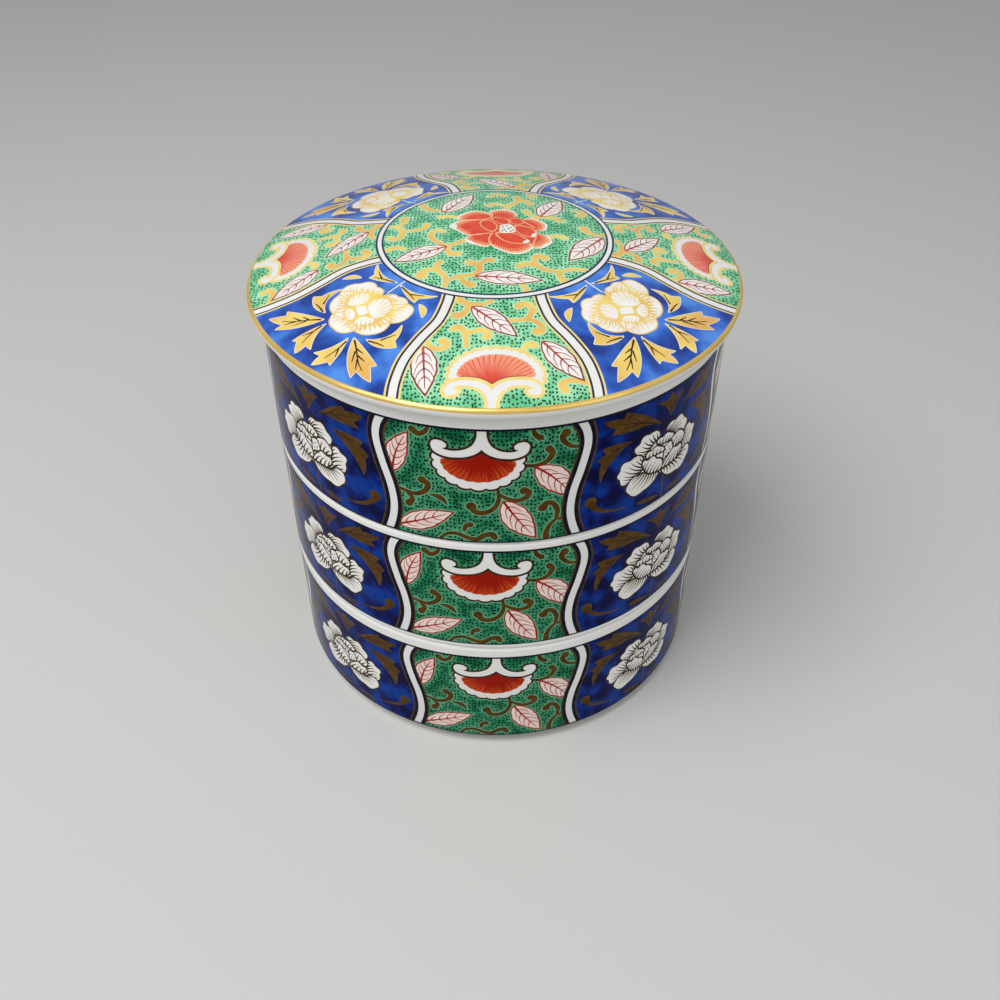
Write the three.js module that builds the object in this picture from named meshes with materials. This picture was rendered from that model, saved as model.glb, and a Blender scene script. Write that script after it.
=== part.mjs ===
import * as THREE from 'three';

// A round three-tier porcelain box with a domed lid. Each tier is a dish whose foot ring nests in the
// rim of the tier below, and the lid's flange nests in the rim of the top tier.
// Millimetres, +Z up, the origin on the ground under the middle of the bottom tier's foot.

// Tier sizes
const tierRadius = 71.75;
const wallHeight = 44.5;
const wallThickness = 4.75;
const floorThickness = 4.5;
const footDrop = 3.5;
const footWidth = 4.5;
const footRecess = 2.5;
const footChamfer = 0.5;
const rimRound = 1.25;
const seatRound = 1;
const insideFillet = 3;

// Lid sizes. The lid reaches past the tiers by its overhang.
const lidOverhang = 3.25;
const lidThickness = 4.25;
const domeRadius = 233;
const edgeRound = 2.75;
const shoulderRound = 1.4;
const flangeDrop = 4.5;
const flangeWidth = 3.5;
const flangeChamfer = 0.5;

// Fits: the play of a ring inside the rim that it nests in, and the gap left between a seat and a rim
const nestPlay = 1.25;
const seatGap = 0.25;

// Facets around the axis, and steps along each rounded stretch of a profile
const facets = 60;
const roundSteps = 3;
const domeSteps = 7;

// Sizes that follow from these
const mouthRadius = tierRadius - wallThickness;
const nestRadius = mouthRadius - nestPlay;
const lidRadius = tierRadius + lidOverhang;
const stackPitch = wallHeight + seatGap;
const tierNames = ['bottom_tier', 'middle_tier', 'top_tier'];

// Points along an arc about (r, z), from one angle to another in degrees from the outward direction
function arc(r, z, radius, fromDegrees, toDegrees, steps = roundSteps) {
  const points = [];
  for (let i = 0; i <= steps; i += 1) {
    const angle = THREE.MathUtils.degToRad(fromDegrees + ((toDegrees - fromDegrees) * i) / steps);
    points.push([r + radius * Math.cos(angle), z + radius * Math.sin(angle)]);
  }
  return points;
}

// The straight-sided ring that hangs below a seat at height 0: its inside edge, flat face and outside
function nestingRing(innerRadius, drop, chamfer) {
  return [
    [innerRadius, chamfer - drop],
    [innerRadius + chamfer, -drop],
    [nestRadius - chamfer, -drop],
    [nestRadius, chamfer - drop],
    [nestRadius, 0],
  ];
}

// Outline of a tier from the axis under its floor, out around the wall and back to the axis inside it.
// Height 0 is the seat that rests on the rim below.
function tierOutline() {
  const recessTop = footRecess - footDrop;
  const floorTop = recessTop + floorThickness;
  return [
    [0, recessTop],
    [nestRadius - footWidth, recessTop],
    ...nestingRing(nestRadius - footWidth, footDrop, footChamfer),
    ...arc(tierRadius - seatRound, seatRound, seatRound, -90, 0),
    ...arc(tierRadius - rimRound, wallHeight - rimRound, rimRound, 0, 90),
    ...arc(mouthRadius + rimRound, wallHeight - rimRound, rimRound, 90, 180),
    ...arc(mouthRadius - insideFillet, floorTop + insideFillet, insideFillet, 0, -90),
    [0, floorTop],
  ];
}

// Outline of the lid from the axis under its dome, around the flange and the edge to its crown.
// The dome runs tangent into the shoulder, and height 0 is the seat on the top tier's rim.
function lidOutline() {
  const domeEdge = Math.asin((lidRadius - shoulderRound) / (domeRadius - shoulderRound));
  const domeEdgeDegrees = 90 - THREE.MathUtils.radToDeg(domeEdge);
  const domeCentre = edgeRound - (domeRadius - shoulderRound) * Math.cos(domeEdge);
  const ceilingRadius = domeRadius - lidThickness;
  const flangeInner = nestRadius - flangeWidth;
  const ceilingEdge = THREE.MathUtils.radToDeg(Math.acos(flangeInner / ceilingRadius));
  const ceiling = arc(0, domeCentre, ceilingRadius, 90, ceilingEdge, domeSteps);
  const dome = arc(0, domeCentre, domeRadius, domeEdgeDegrees, 90, domeSteps);
  ceiling[0][0] = 0;
  dome[domeSteps][0] = 0;
  return [
    ...ceiling,
    ...nestingRing(flangeInner, flangeDrop, flangeChamfer),
    ...arc(lidRadius - edgeRound, edgeRound, edgeRound, -90, 0),
    ...arc(lidRadius - shoulderRound, edgeRound, shoulderRound, 0, domeEdgeDegrees).slice(1),
    ...dome.slice(1),
  ];
}

// A solid turned from an outline of [radius, height] points
function turned(name, outline, height) {
  const points = outline.map(([r, z]) => new THREE.Vector2(r, z));
  const geometry = new THREE.LatheGeometry(points, facets);
  geometry.rotateX(Math.PI / 2);
  const glaze = new THREE.MeshStandardMaterial({ color: 0xf2f0ea, roughness: 0.1, metalness: 0 });
  const mesh = new THREE.Mesh(geometry, glaze);
  mesh.name = name;
  mesh.position.z = height;
  return mesh;
}

const box = new THREE.Group();
tierNames.forEach((name, level) => {
  box.add(turned(name, tierOutline(), footDrop + level * stackPitch));
});
box.add(turned('lid', lidOutline(), footDrop + tierNames.length * stackPitch));

export default box;
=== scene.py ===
import math
from dataclasses import dataclass

import bpy
import numpy as np
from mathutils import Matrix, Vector
from mathutils.geometry import delaunay_2d_cdt


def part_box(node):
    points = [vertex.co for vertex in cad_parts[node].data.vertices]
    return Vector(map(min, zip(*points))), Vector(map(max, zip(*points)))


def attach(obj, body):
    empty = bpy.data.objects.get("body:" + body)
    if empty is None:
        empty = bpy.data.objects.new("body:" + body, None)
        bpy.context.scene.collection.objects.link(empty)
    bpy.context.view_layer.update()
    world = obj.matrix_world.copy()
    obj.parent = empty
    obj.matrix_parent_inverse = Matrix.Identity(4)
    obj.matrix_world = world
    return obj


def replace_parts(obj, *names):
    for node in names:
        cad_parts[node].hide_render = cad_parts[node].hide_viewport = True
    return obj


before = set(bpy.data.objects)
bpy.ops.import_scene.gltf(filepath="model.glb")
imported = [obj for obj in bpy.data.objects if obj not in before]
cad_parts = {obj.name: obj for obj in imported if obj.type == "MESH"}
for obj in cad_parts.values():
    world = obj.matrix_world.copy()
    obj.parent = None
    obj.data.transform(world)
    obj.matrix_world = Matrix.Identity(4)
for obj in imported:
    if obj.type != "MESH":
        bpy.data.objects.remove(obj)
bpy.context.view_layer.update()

# A round three-tier porcelain box in the old brocade manner: cobalt and green panels with flowers, leaves
# and gold scrolls. The porcelain is turned, and the enamel lies on it as thin raised slabs, one piece for
# each colour on each porcelain piece. Sizes are in millimetres until a mesh is made.
MM = 0.001

# Sizes read from the frame
TIERS = ["bottom_tier", "middle_tier", "top_tier"]
TIER_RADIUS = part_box("top_tier")[1].x / MM
TIER_HEIGHT = (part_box("top_tier")[1].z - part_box("top_tier")[0].z) / MM
LID_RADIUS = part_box("lid")[1].x / MM

# Porcelain sizes, as in the solids
WALL = 4.75
FLOOR = 4.5
FOOT_DROP = 3.5
FOOT_WIDTH = 4.5
FOOT_RECESS = 2.5
CHAMFER = 0.5
RIM_ROUND = 1.25
SEAT_ROUND = 1.0
INSIDE_FILLET = 3.0
LID_THICKNESS = 4.25
DOME_RADIUS = 233.0
EDGE_ROUND = 2.75
SHOULDER_ROUND = 1.4
FLANGE_DROP = 4.5
FLANGE_WIDTH = 3.5
NEST_PLAY = 1.25
WALL_TOP = TIER_HEIGHT - FOOT_DROP
MOUTH_RADIUS = TIER_RADIUS - WALL
NEST_RADIUS = MOUTH_RADIUS - NEST_PLAY
LID_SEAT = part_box("lid")[0].z / MM + FLANGE_DROP
DOME_EDGE = math.asin((LID_RADIUS - SHOULDER_ROUND) / (DOME_RADIUS - SHOULDER_ROUND))
DOME_EDGE_DEGREES = 90 - math.degrees(DOME_EDGE)
DOME_CENTRE = LID_SEAT + EDGE_ROUND - (DOME_RADIUS - SHOULDER_ROUND) * math.cos(DOME_EDGE)

# Steps of the turned porcelain, and the angle from which its edges are sharp
TURN_STEPS = 360
ROUND_STEPS = 8
DOME_STEPS = 28
SHARP_DEGREES = 35

# The enamel's height above the glaze and its depth under it
ENAMEL_RISE = 0.05
ENAMEL_DEPTH = 0.1

# Colours of the enamel, which are also the ends of the pieces' names. White is bare porcelain.
COBALT = "cobalt"
GREEN = "green"
MIST = "misty_green"
HAZE = "hazy_green"
PALE = "pale_green"
GOLD = "gold"
STRAW = "straw"
INK = "ink"
SEPIA = "sepia"
RED = "red"
RED_LINE = "red_line"
CORAL = "coral"
BLUSH = "blush"
CREAM = "cream"
WHITE = None

# Four equal sectors go round each piece, with one green and one cobalt panel each
SECTORS = 4
SECTOR_TURN = 360 / SECTORS
SECTOR_ARC = 2 * math.pi * TIER_RADIUS / SECTORS
COBALT_MIDDLE = SECTOR_ARC / 2


# Lines and outlines in the plane of the design

CURVE_STEPS = 6
STROKE_STEPS = 4
RING_SIDES = 240
RING_OVERLAP = 0.05
MIDDLE = (0.0, 0.0)
MIRROR = (-1, 1)


def smooth(points, steps=CURVE_STEPS):
    """Points along a smooth curve through the given ones."""
    p = np.array(points, float)
    p = np.vstack([2 * p[0] - p[1], p, 2 * p[-1] - p[-2]])
    t = np.linspace(0, 1, steps, endpoint=False)[:, None]
    runs = []
    for a, b, c, d in zip(p, p[1:], p[2:], p[3:]):
        square = (2 * a - 5 * b + 4 * c - d) * t ** 2
        cube = (3 * b - a - 3 * c + d) * t ** 3
        runs.append(b + 0.5 * ((c - a) * t + square + cube))
    return np.vstack(runs + [p[-2:-1]])


def closed(points):
    """Points along a smooth closed curve through the given ones."""
    return smooth(list(points) + [points[0]])[:-1]


def ribbon(line, left, right=None):
    """Outline of a band along a line, reaching so far to its left and right, or to both sides alike."""
    ahead = np.gradient(line, axis=0)
    ahead /= np.linalg.norm(ahead, axis=1)[:, None]
    across = np.column_stack([-ahead[:, 1], ahead[:, 0]])
    left_edge = line + across * np.reshape(left, (-1, 1))
    right_edge = line - across * np.reshape(left if right is None else right, (-1, 1))
    return np.vstack([left_edge, right_edge[::-1]])


def stroke(points, first, last):
    """Outline of a brush stroke through the points, with its first and last width."""
    line = smooth(points, STROKE_STEPS) if len(points) > 2 else np.array(points, float)
    return ribbon(line, np.linspace(first, last, len(line)) / 2)


def rays(angle):
    """Directions at angles from +x."""
    return np.column_stack([np.cos(angle), np.sin(angle)])


def disc(centre, radius, sides=18):
    """Outline of a round spot."""
    return np.array(centre) + radius * rays(np.linspace(0, 2 * math.pi, sides, endpoint=False))


def ring(radius, half):
    """Outline of a round band about the middle, which overlaps a little where it closes."""
    return ribbon(radius * rays(np.linspace(0, 2 * math.pi + RING_OVERLAP, RING_SIDES)), half)


def bow_points(start, end, bow, t):
    """Points at the shares t of a run that bows so far to its left, and the direction across the run."""
    start = np.array(start, float)
    run = np.array(end) - start
    across = np.array([-run[1], run[0]]) / np.linalg.norm(run)
    t = np.reshape(t, (-1, 1))
    return start + run * t + across * bow * 4 * t * (1 - t), across


def bow_run(start, end, steps=CURVE_STEPS):
    """Points from one corner (x, y, bow) to the next, bowed so far to the left of the run."""
    return bow_points(start[:2], end[:2], start[2], np.linspace(0, 1, steps + 1))[0]


def bow_runs(corners):
    """The bowed edges of a closed outline through corners (x, y, bow)."""
    return [bow_run(start, end) for start, end in zip(corners, corners[1:] + corners[:1])]


def bowed(corners):
    """Closed outline through corners (x, y, bow)."""
    return np.vstack([run[:-1] for run in bow_runs(corners)])


def edge_lines(corners, half):
    """Outlines of the lines along a bowed outline's edges."""
    return [ribbon(run, half) for run in bow_runs(corners)]


def turned_by(points, degrees, spot=MIDDLE):
    """Points turned about the origin and moved to a spot."""
    angle = math.radians(degrees)
    turn = np.array([[math.cos(angle), math.sin(angle)], [-math.sin(angle), math.cos(angle)]])
    return np.array(points, float) @ turn + np.array(spot)


def line_steps(line):
    """Lengths of a line's steps."""
    return np.linalg.norm(np.diff(line, axis=0), axis=1)


def points_along(line, shares):
    """Points at the given shares of a line's length."""
    place = np.append(0.0, np.cumsum(line_steps(line)))
    return np.column_stack([np.interp(shares * place[-1], place, line[:, k]) for k in (0, 1)])


class Art(list):
    """A design as (colour, outline) shapes, the later ones on top."""

    def add(self, colour, *outlines):
        """Put outlines of one colour on top."""
        self.extend((colour, outline) for outline in outlines)


# Leaves and scrolls

# The green ground thins to a mist, a haze and a pale edge, each so far round what lies on it
HAZE_STEPS = ((MIST, 2.4), (HAZE, 1.5), (PALE, 0.35))

# Powers that round a leaf's base and point its tip, and the waves of its edge as shares of the width.
# A leaf drawn in by an inset starts one inset from the base and ends two from the tip.
LEAF_STEPS = 28
LEAF_SWELL = 0.82
LEAF_FULLNESS = 0.9
LEAF_NARROW = 0.93
LEAF_WAVE = 0.07
LEAF_WAVES = 4.5
LEAF_INSETS = 3
LEAF_LINE = 0.5
# The width of the cream line round the lid's gold leaves, a painted glint
LEAF_GLINT = 0.16

# The rib's points, and where the veins start, all as shares of the leaf's length. The veins bend and end so
# far ahead and out, as shares of their reach, which is a share of the half width a little ahead.
RIB_SHARES = np.linspace(0.02, 0.86, 8)
VEIN_SHARES = (0.14, 0.30, 0.46, 0.62)
VEIN_AHEAD = 0.08
VEIN_REACH = 0.74
VEIN_BENDS = ((0.6, 0.62), (1.65, 1.0))


def leaf_half(t, width):
    """Half of a leaf's width along it: round near the base, pointed at the tip, with a wavy edge."""
    wave = LEAF_NARROW + LEAF_WAVE * np.abs(np.sin(LEAF_WAVES * np.pi * np.asarray(t)))
    return width / 2 * wave * np.sin(np.pi * np.asarray(t) ** LEAF_SWELL) ** LEAF_FULLNESS


def leaf_outline(base, tip, width, bend=0, inset=0):
    """A leaf's outline, drawn in by the inset."""
    length = math.dist(base, tip)
    t = np.linspace(0, 1, LEAF_STEPS)
    axis, across = bow_points(base, tip, bend, inset / length + t * (1 - LEAF_INSETS * inset / length))
    half = leaf_half(t, width - 2 * inset)[:, None]
    return np.vstack([axis + across * half, (axis - across * half)[::-1][1:-1]])


def leaf(art, base, tip, width, bend):
    """A pale leaf with a red edge, a middle rib and side veins."""
    art.add(RED_LINE, leaf_outline(base, tip, width, bend))
    art.add(BLUSH, leaf_outline(base, tip, width, bend, LEAF_LINE))
    rib, across = bow_points(base, tip, bend, RIB_SHARES)
    art.add(RED_LINE, stroke(rib, first=0.8, last=0.2))
    art.add(RED, stroke(rib[:len(rib) // 2], first=0.5, last=0.16))
    ahead = (np.array(tip) - np.array(base)) / math.dist(base, tip)
    for share in VEIN_SHARES:
        start = bow_points(base, tip, bend, share)[0][0]
        reach = VEIN_REACH * leaf_half(share + VEIN_AHEAD, width)
        for side in (-1, 1):
            bends = [start + ahead * reach * on + across * side * reach * out for on, out in VEIN_BENDS]
            art.add(RED_LINE, stroke([start, *bends], first=0.4, last=0.14))


def scroll(art, colour, ball, points, thin, thick):
    """A tendril with a round start that swells towards its end and closes in a ball there."""
    art.add(colour, disc(points[0], thin / 2, sides=10))
    art.add(colour, stroke(points, thin, thick), disc(points[-1], ball))


def growth(art, leaves, scrolls, thin, thick, others=None):
    """Leaves and gold tendrils on a green ground, which thins in steps round them and round the outlines
    that others gives, wider by so much."""
    for colour, edge in HAZE_STEPS:
        if others:
            art.add(colour, *others(edge))
        for ball, points in scrolls:
            scroll(art, colour, ball + edge, points, thin + 2 * edge, thick + 2 * edge)
        for shape in leaves:
            art.add(colour, leaf_outline(*shape, inset=-edge))
    for ball, points in scrolls:
        scroll(art, GOLD, ball, points, thin, thick)
    for shape in leaves:
        leaf(art, *shape)


def gold_leaf(art, corners, veins, edge=0.0):
    """A gold leaf with pointed lobes, dark veins and, where an edge is given, a pale line round it as a
    painted glint.
    """
    if edge:
        art.add(CREAM, *edge_lines(corners, edge))
    art.add(GOLD, bowed(corners))
    art.add(SEPIA, *(stroke(vein, first=0.58, last=0.24) for vein in veins))


# Fan flowers, in their own plane: the stem starts at q = 0, and the fan opens towards +q about its middle

FAN_MIDDLE = (1.1, 9.65)
FAN_WIDTH = 13.4
FAN_START_DEGREES = -17.0
SCALLOP_STEPS = 6
SCALLOP_POWER = 0.7

# The coral inside the fan, and the ends of its red streaks
CORAL_WIDTH = 10.3
CORAL_FOOT = smooth([(-9.2, 9.6), (-6.4, 8.2), (-3.2, 7), (0, 4.4), (3.2, 7), (6.8, 8.2), (11.4, 9.4)])
STREAK_ANGLES = np.radians(np.linspace(10, 170, 17))
STREAK_ROOT = np.array([0.4, 8.0])
STREAK_START_WIDTH = 7.4
STREAK_START_INSET = 1.4
STREAK_END_INSETS = (0.6, 0.5)

# One arm from the stem to its curl: half its width, the web on its coral side and the red line beside it
FAN_ARM = smooth([(-0.2, -2), (-0.25, 0.8), (-0.75, 3), (-1.9, 5), (-3.9, 6.5), (-6.4, 7.25), (-8.8, 7.2),
                  (-10.8, 6.35), (-11.4, 5.2), (-10.7, 4.6)])
ARM_SHARES = np.linspace(0, 1, len(FAN_ARM))
ARM_HALVES = np.interp(ARM_SHARES, (0, 0.3, 0.7, 1), (1.2, 1.25, 1.35, 1.45))
ARM_WEB = np.interp(ARM_SHARES, (0.12, 0.3, 0.38, 0.55), (0.0, 0.7, 0.5, 0.0))
CURL_DISCS = (((-11.0, 4.75), 1.75), ((-10.2, 4.5), 1.38), ((-9.5, 4.6), 1.0))
SHADE_WIDTH = 0.28
SHADE_RUN = slice(14, 35)


def arm_ribbon(run, side, green_half, coral_half):
    """Outline of a run of a fan arm on one side of the stem, so wide to its green and to its coral side."""
    halves = (green_half[run], coral_half[run])
    return ribbon(FAN_ARM[run] * (side, 1.0), *(halves if side > 0 else halves[::-1]))


@dataclass
class Fan:
    """A red fan flower with a scalloped white edge, on a white stem that parts into two curls.
    It reaches so far past its middle, and its coral ends an inset short of that. The arms and the balls of
    the curls have these shares of the full width, and the two sides these shares of the full length."""
    spot: tuple
    degrees: float
    reach: float
    inset: float
    scallops: int
    arm: float
    curl: float
    sides: tuple
    line: str
    edge: float

    def scalloped(self, width, reach, depth, start):
        """A scalloped arc round the fan's middle, from a start in degrees."""
        angle = np.radians(np.linspace(start, 180 - start, self.scallops * SCALLOP_STEPS + 1))
        share = (angle - angle[0]) / (angle[-1] - angle[0])
        wave = 1 - depth * (1 - np.abs(np.sin(np.pi * self.scallops * share)) ** SCALLOP_POWER)
        return FAN_MIDDLE + np.column_stack([width * wave * np.cos(angle), reach * wave * np.sin(angle)])

    def rim(self, grow):
        """The fan's scalloped edge, wider by so much."""
        return self.scalloped(FAN_WIDTH + grow, self.reach + grow, depth=0.062, start=FAN_START_DEGREES)

    def arms(self, grow):
        """Outlines of the stem and its two curls, wider by so much."""
        half = self.arm * ARM_HALVES + grow
        outlines = []
        for side in self.sides:
            outlines.append(arm_ribbon(slice(None), side, half, half + ARM_WEB))
            outlines.extend(disc((p * side, q), self.curl * radius + grow) for (p, q), radius in CURL_DISCS)
        return outlines

    def coral(self):
        """The coral's outline and its streaks, every other one longer."""
        reach = self.reach - self.inset
        outer = self.scalloped(CORAL_WIDTH, reach, depth=0.032, start=0)
        streaks = []
        for index, ray in enumerate(rays(STREAK_ANGLES)):
            start = STREAK_ROOT + ray * (STREAK_START_WIDTH, reach - STREAK_START_INSET) - ray * (index % 2)
            end = FAN_MIDDLE + ray * (CORAL_WIDTH - STREAK_END_INSETS[0], reach - STREAK_END_INSETS[1])
            streaks.append(stroke([start, end], first=0.16, last=0.32))
        return np.vstack([outer, CORAL_FOOT]), streaks

    def placed(self, outlines):
        """Outlines moved to the flower's place on the design."""
        return [turned_by(outline, self.degrees, self.spot) for outline in outlines]

    def outlines(self, grow):
        """All outlines of the flower on the design, wider by so much."""
        return self.placed([self.rim(grow)] + self.arms(grow))

    def paint(self, art):
        """Add the flower to the art."""
        area, streaks = self.coral()
        shade = self.arm * ARM_HALVES + ARM_WEB + self.edge + SHADE_WIDTH
        shades = [arm_ribbon(SHADE_RUN, side, np.zeros_like(shade), shade) for side in self.sides]
        art.add(self.line, *self.placed([self.rim(0)]))
        art.add(WHITE, *self.placed([self.rim(-self.edge)]))
        art.add(CORAL, *self.placed([area]))
        art.add(RED, *self.placed(streaks))
        art.add(RED_LINE, *self.placed(shades))
        art.add(self.line, *self.placed(self.arms(self.edge)))
        art.add(WHITE, *self.placed(self.arms(0)))


# Petals and panels

# Edges that bow at least so far are lobes. A comb's strokes bow and end thin, and every other one is short.
LOBE_BOW = 0.6
COMB_SHORT = 0.1
COMB_BOW = 0.08
COMB_TIP = 0.1


def petal(art, corners, line, width, comb, spacing, thick):
    """A cream petal with lobed edges, a line round it and a comb of strokes between its inner edge and
    its lobes, from one share of the way to the other."""
    art.add(CREAM, bowed(corners))
    lobed = [bow >= LOBE_BOW for x, y, bow in corners]
    if any(lobed):
        first = next(i for i, lobe in enumerate(lobed) if lobe and not lobed[i - 1])
        runs = bow_runs(corners[first:] + corners[:first])
        outer = np.vstack(runs[:sum(lobed)])
        inner = np.vstack(runs[sum(lobed):])[::-1]
        count = int((line_steps(inner).sum() + line_steps(outer).sum()) / 2 / spacing)
        shares = (np.arange(count) + 0.5) / count
        for index, (low, high) in enumerate(zip(points_along(inner, shares), points_along(outer, shares))):
            start = low + (high - low) * comb[0]
            end = low + (high - low) * (comb[1] - COMB_SHORT * (index % 2))
            run = bow_run((*start, COMB_BOW * math.dist(start, end)), end, steps=4)
            art.add(line, ribbon(run, np.linspace(thick, COMB_TIP, len(run)) / 2))
    art.add(line, *edge_lines(corners, width / 2))


def green_panel(band):
    """Outline of the green panel between a band and its mirror image."""
    return np.vstack([band * MIRROR, band[::-1]])


def bands(art, band, outer, outer_half, ink_half, white_half):
    """The white bands at both sides of the green panel, with dark and outer lines along both edges."""
    for colour, half in ((outer, outer_half), (INK, ink_half), (WHITE, white_half)):
        art.add(colour, ribbon(band * MIRROR, half), ribbon(band, half))


# The tiers' design: u runs along the wall from the middle of the green panel, v up from the seat

# The sheet's start and its low and high edge, how far shapes run past these edges, and the lines along them
SECTOR_START = -28.2
TIER_LOW = 0.6
TIER_HIGH = 40.6
TIER_PAST = 1
TIER_TOP_LINE = 0.65
TIER_LOW_LINE = 0.5
TIER_FAN = Fan(spot=(0.5, 39.25), degrees=180, reach=10.4, inset=3.5, scallops=11, arm=0.86, curl=1.0,
               sides=(1.0, -1.1), line=SEPIA, edge=0.72)
TIER_BAND = smooth([(27.7, 0), (26, 5.5), (25.3, 11), (26, 17.5), (28, 25), (29.4, 32.5),
                    (28.7, 37.5), (26.4, 42)])
TIER_LEAVES = (
    ((-25, 22.3), (-19.3, 37.5), 6.9, 1.1),
    ((14.7, 27.7), (25.8, 15), 8.6, 1),
    ((-24.4, 3.2), (-7.3, 11.6), 7.2, 0),
    ((6.1, 16.3), (15.7, 1.6), 8.5, -0.4),
)
TIER_SCROLLS = (
    (1.1, [(-13.6, 40.6), (-14.6, 38.4), (-16.6, 37.3), (-18.2, 38.5)]),
    (1.3, [(-24.6, 17.4), (-21.2, 16.5), (-18.2, 16.2), (-15.5, 17.9), (-14.6, 20.4), (-16.3, 21.6)]),
    (1.2, [(-21, 16.2), (-19.4, 14.2), (-20.6, 12.2)]),
    (1.5, [(4.8, 20), (4.9, 16.6), (3.6, 13.6), (1, 11.9), (-1.5, 12.2), (-2.7, 14.1)]),
    (1.3, [(5, 18.6), (7.4, 17), (10, 16.2), (12.6, 17.2), (13.2, 19), (11.9, 19.6)]),
    (1.1, [(12, 28.4), (15, 28), (18, 29.2), (19.4, 31.6), (18.4, 33.3)]),
    (1.4, [(27, 32.4), (24.6, 33), (22.6, 34.8), (22, 36.6), (22.9, 37.7)]),
    (0.6, [(13.8, 40.8), (14.6, 38.4), (16.4, 36.9)]),
    (1.4, [(24.2, 7.9), (21.4, 8.2), (21.5, 11), (20.2, 13.8), (18.3, 14.3), (17.2, 12.8)]),
    (0.6, [(21.4, 8.2), (19.4, 6), (18.4, 3.2), (18.5, 1.2)]),
    (0.9, [(-11.8, 1), (-9.8, 3.1), (-7, 3.6), (-4.4, 2.5), (-1.4, 1.8), (0.8, 3.4), (3, 3.9),
           (3.8, 2.6)]),
    (0.6, [(-4.8, 5), (-4.2, 6.8), (-2.6, 7.4)]),
)
TIER_CRESCENT = [(-14.8, 16.7, 2.3), (-9.2, 13.5, -0.5)]
TIER_GOLD_LEAVES = (
    ([(-1.6, 29.8, -0.2), (-8.5, 32.1, 0.4), (-19.8, 33.2, 0), (-18.6, 34.9, 0.4), (-22.6, 38.1, 0.4),
      (-16.4, 37.4, 0.1), (-15.4, 39.3, 0.9)],
     ([(-3, 30.4), (-8, 32.9), (-13, 34.7), (-18.5, 36.3)], [(-9.5, 33.4), (-13.2, 36.6)],
      [(-10.5, 33.8), (-15.8, 34)])),
    ([(-12.5, 28.7, -1.9), (-22.3, 17.3, 0.6), (-22.4, 24.2, 0), (-23.9, 25.4, 0.2), (-21.2, 27, 0.1),
      (-22.4, 29.3, 0.5)],
     ([(-14, 28.5), (-18, 27.3), (-21.3, 24.9)], [(-16.8, 27.8), (-20, 27.9)])),
    ([(1.6, 30.9, -0.9), (-4.7, 37.7, 0.2), (-0.4, 37.2, 0.1), (1, 39.4, 0.1), (2.4, 37.4, 0.2),
      (6.8, 37.7, -0.5)],
     ([(1.6, 32), (1.2, 34.5), (0.3, 36.8)], [(1.6, 33.2), (3.6, 36.2)])),
    ([(5.7, 31.4, 0.8), (16.3, 39, 0.1), (17.2, 37.7, 0.3), (23.3, 38.1, 0.4), (20, 35.2, 0),
      (21.5, 33.3, 0.3), (9.6, 33.2, -0.2)],
     ([(6.8, 32.2), (11, 34.2), (16, 35.6), (20.5, 36.8)], [(10.5, 34), (14.2, 37)],
      [(12, 34.5), (17.4, 34.2)])),
    ([(11, 29, 1), (22.5, 29.2, 0.1), (21.2, 27.3, 0.2), (24.2, 25, 0), (22.7, 23.2, 0.5),
      (21.7, 17.1, -1.6)],
     ([(13, 29.2), (17, 28.1), (20.8, 25.6)], [(17, 28.1), (20.4, 28.6)])),
)
TIER_PETALS = (
    [(-10.9, 23.1, 1.4), (-9.9, 26.4, 1.3), (-6.4, 28.4, 1.6), (-1.7, 25.6, -0.2),
     (-4.7, 23.6, 0), (-7.2, 21, 0.6)],
    [(0.1, 26.4, 1.2), (4.4, 28.4, 1.4), (8.8, 27, 1.6), (9.6, 22.4, 0.6),
     (4.6, 22.8, -0.2)],
    [(-12.6, 13.4, 1.4), (-16, 15.9, 1), (-16.2, 19.1, 1.5), (-12.8, 21.8, 1.4),
     (-7.8, 20.6, 0), (-7.4, 16.6, 0)],
    [(10.2, 22.3, 1.2), (13.8, 21.7, 1.5), (15.3, 18.3, 0.7), (13.9, 14.3, 0.3),
     (9, 15.6, 0)],
    [(-0.4, 12.2, 1.1), (-6.8, 7.8, 1.3), (-12.4, 9.3, 1), (-12.6, 13.4, 0.6),
     (-9.7, 15.2, 0.1), (-7.4, 15.2, -0.3)],
    [(0.1, 12.3, -0.2), (8.5, 13.4, 0), (10.2, 14.9, 0.6), (13.9, 14.3, 1.1),
     (12.6, 9.3, 1.1), (7.6, 7.9, 1.5)],
    [(3.8, 22, 0.2), (-1, 22.2, 0.2), (-3.4, 23.8, 0.7), (-0.6, 24.8, 0.8),
     (2.9, 24.6, 1)],
    [(4, 18.2, 0.2), (3.3, 20.6, 0.6), (4.9, 22.8, 0.8), (8.9, 22.2, 1.2),
     (9, 18.2, 0.1)],
    [(0.4, 15, 0), (0.6, 20.4, 0.4), (3.6, 21.4, 0.2), (4.9, 17.2, 0.2)],
    [(0.2, 12.6, 0), (0.4, 15.2, 0.2), (3.4, 16.9, 0.9), (7, 17.4, 1.1),
     (9.5, 15.8, 0.3), (6.5, 12.9, 0.1)],
    [(0.8, 19, 0), (-6.4, 19.6, 0.2), (-7.2, 20.6, 0.8), (-4.9, 21.9, 0.9),
     (-1.3, 21.7, 0.7)],
    [(0.2, 12.6, 0.2), (-5, 13.4, 0.5), (-8.4, 18.7, 0.8), (-6, 18.9, 1.2),
     (-2.4, 18, 1.6)],
)
TIER_PEONY = [(-10, 22, 0.5), (-2, 25, 0), (9, 23, 0.5), (12, 18, 0), (12, 13, 0),
              (0.2, 11.6, 0), (-11, 12.5, 0), (-9.5, 17, 0)]
TIER_STAMENS = ((1.4, 19), (2.6, 19.6), (3.2, 18.4), (1.9, 17.8), (2.8, 17.2), (1.6, 16.6), (3.8, 17.4),
                (2.4, 16.1))
TIER_TAIL = ((12.6, 4.7), (17, 5.3), (21, 6.7), (23.7, 8.8), (24.9, 11.1))
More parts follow.
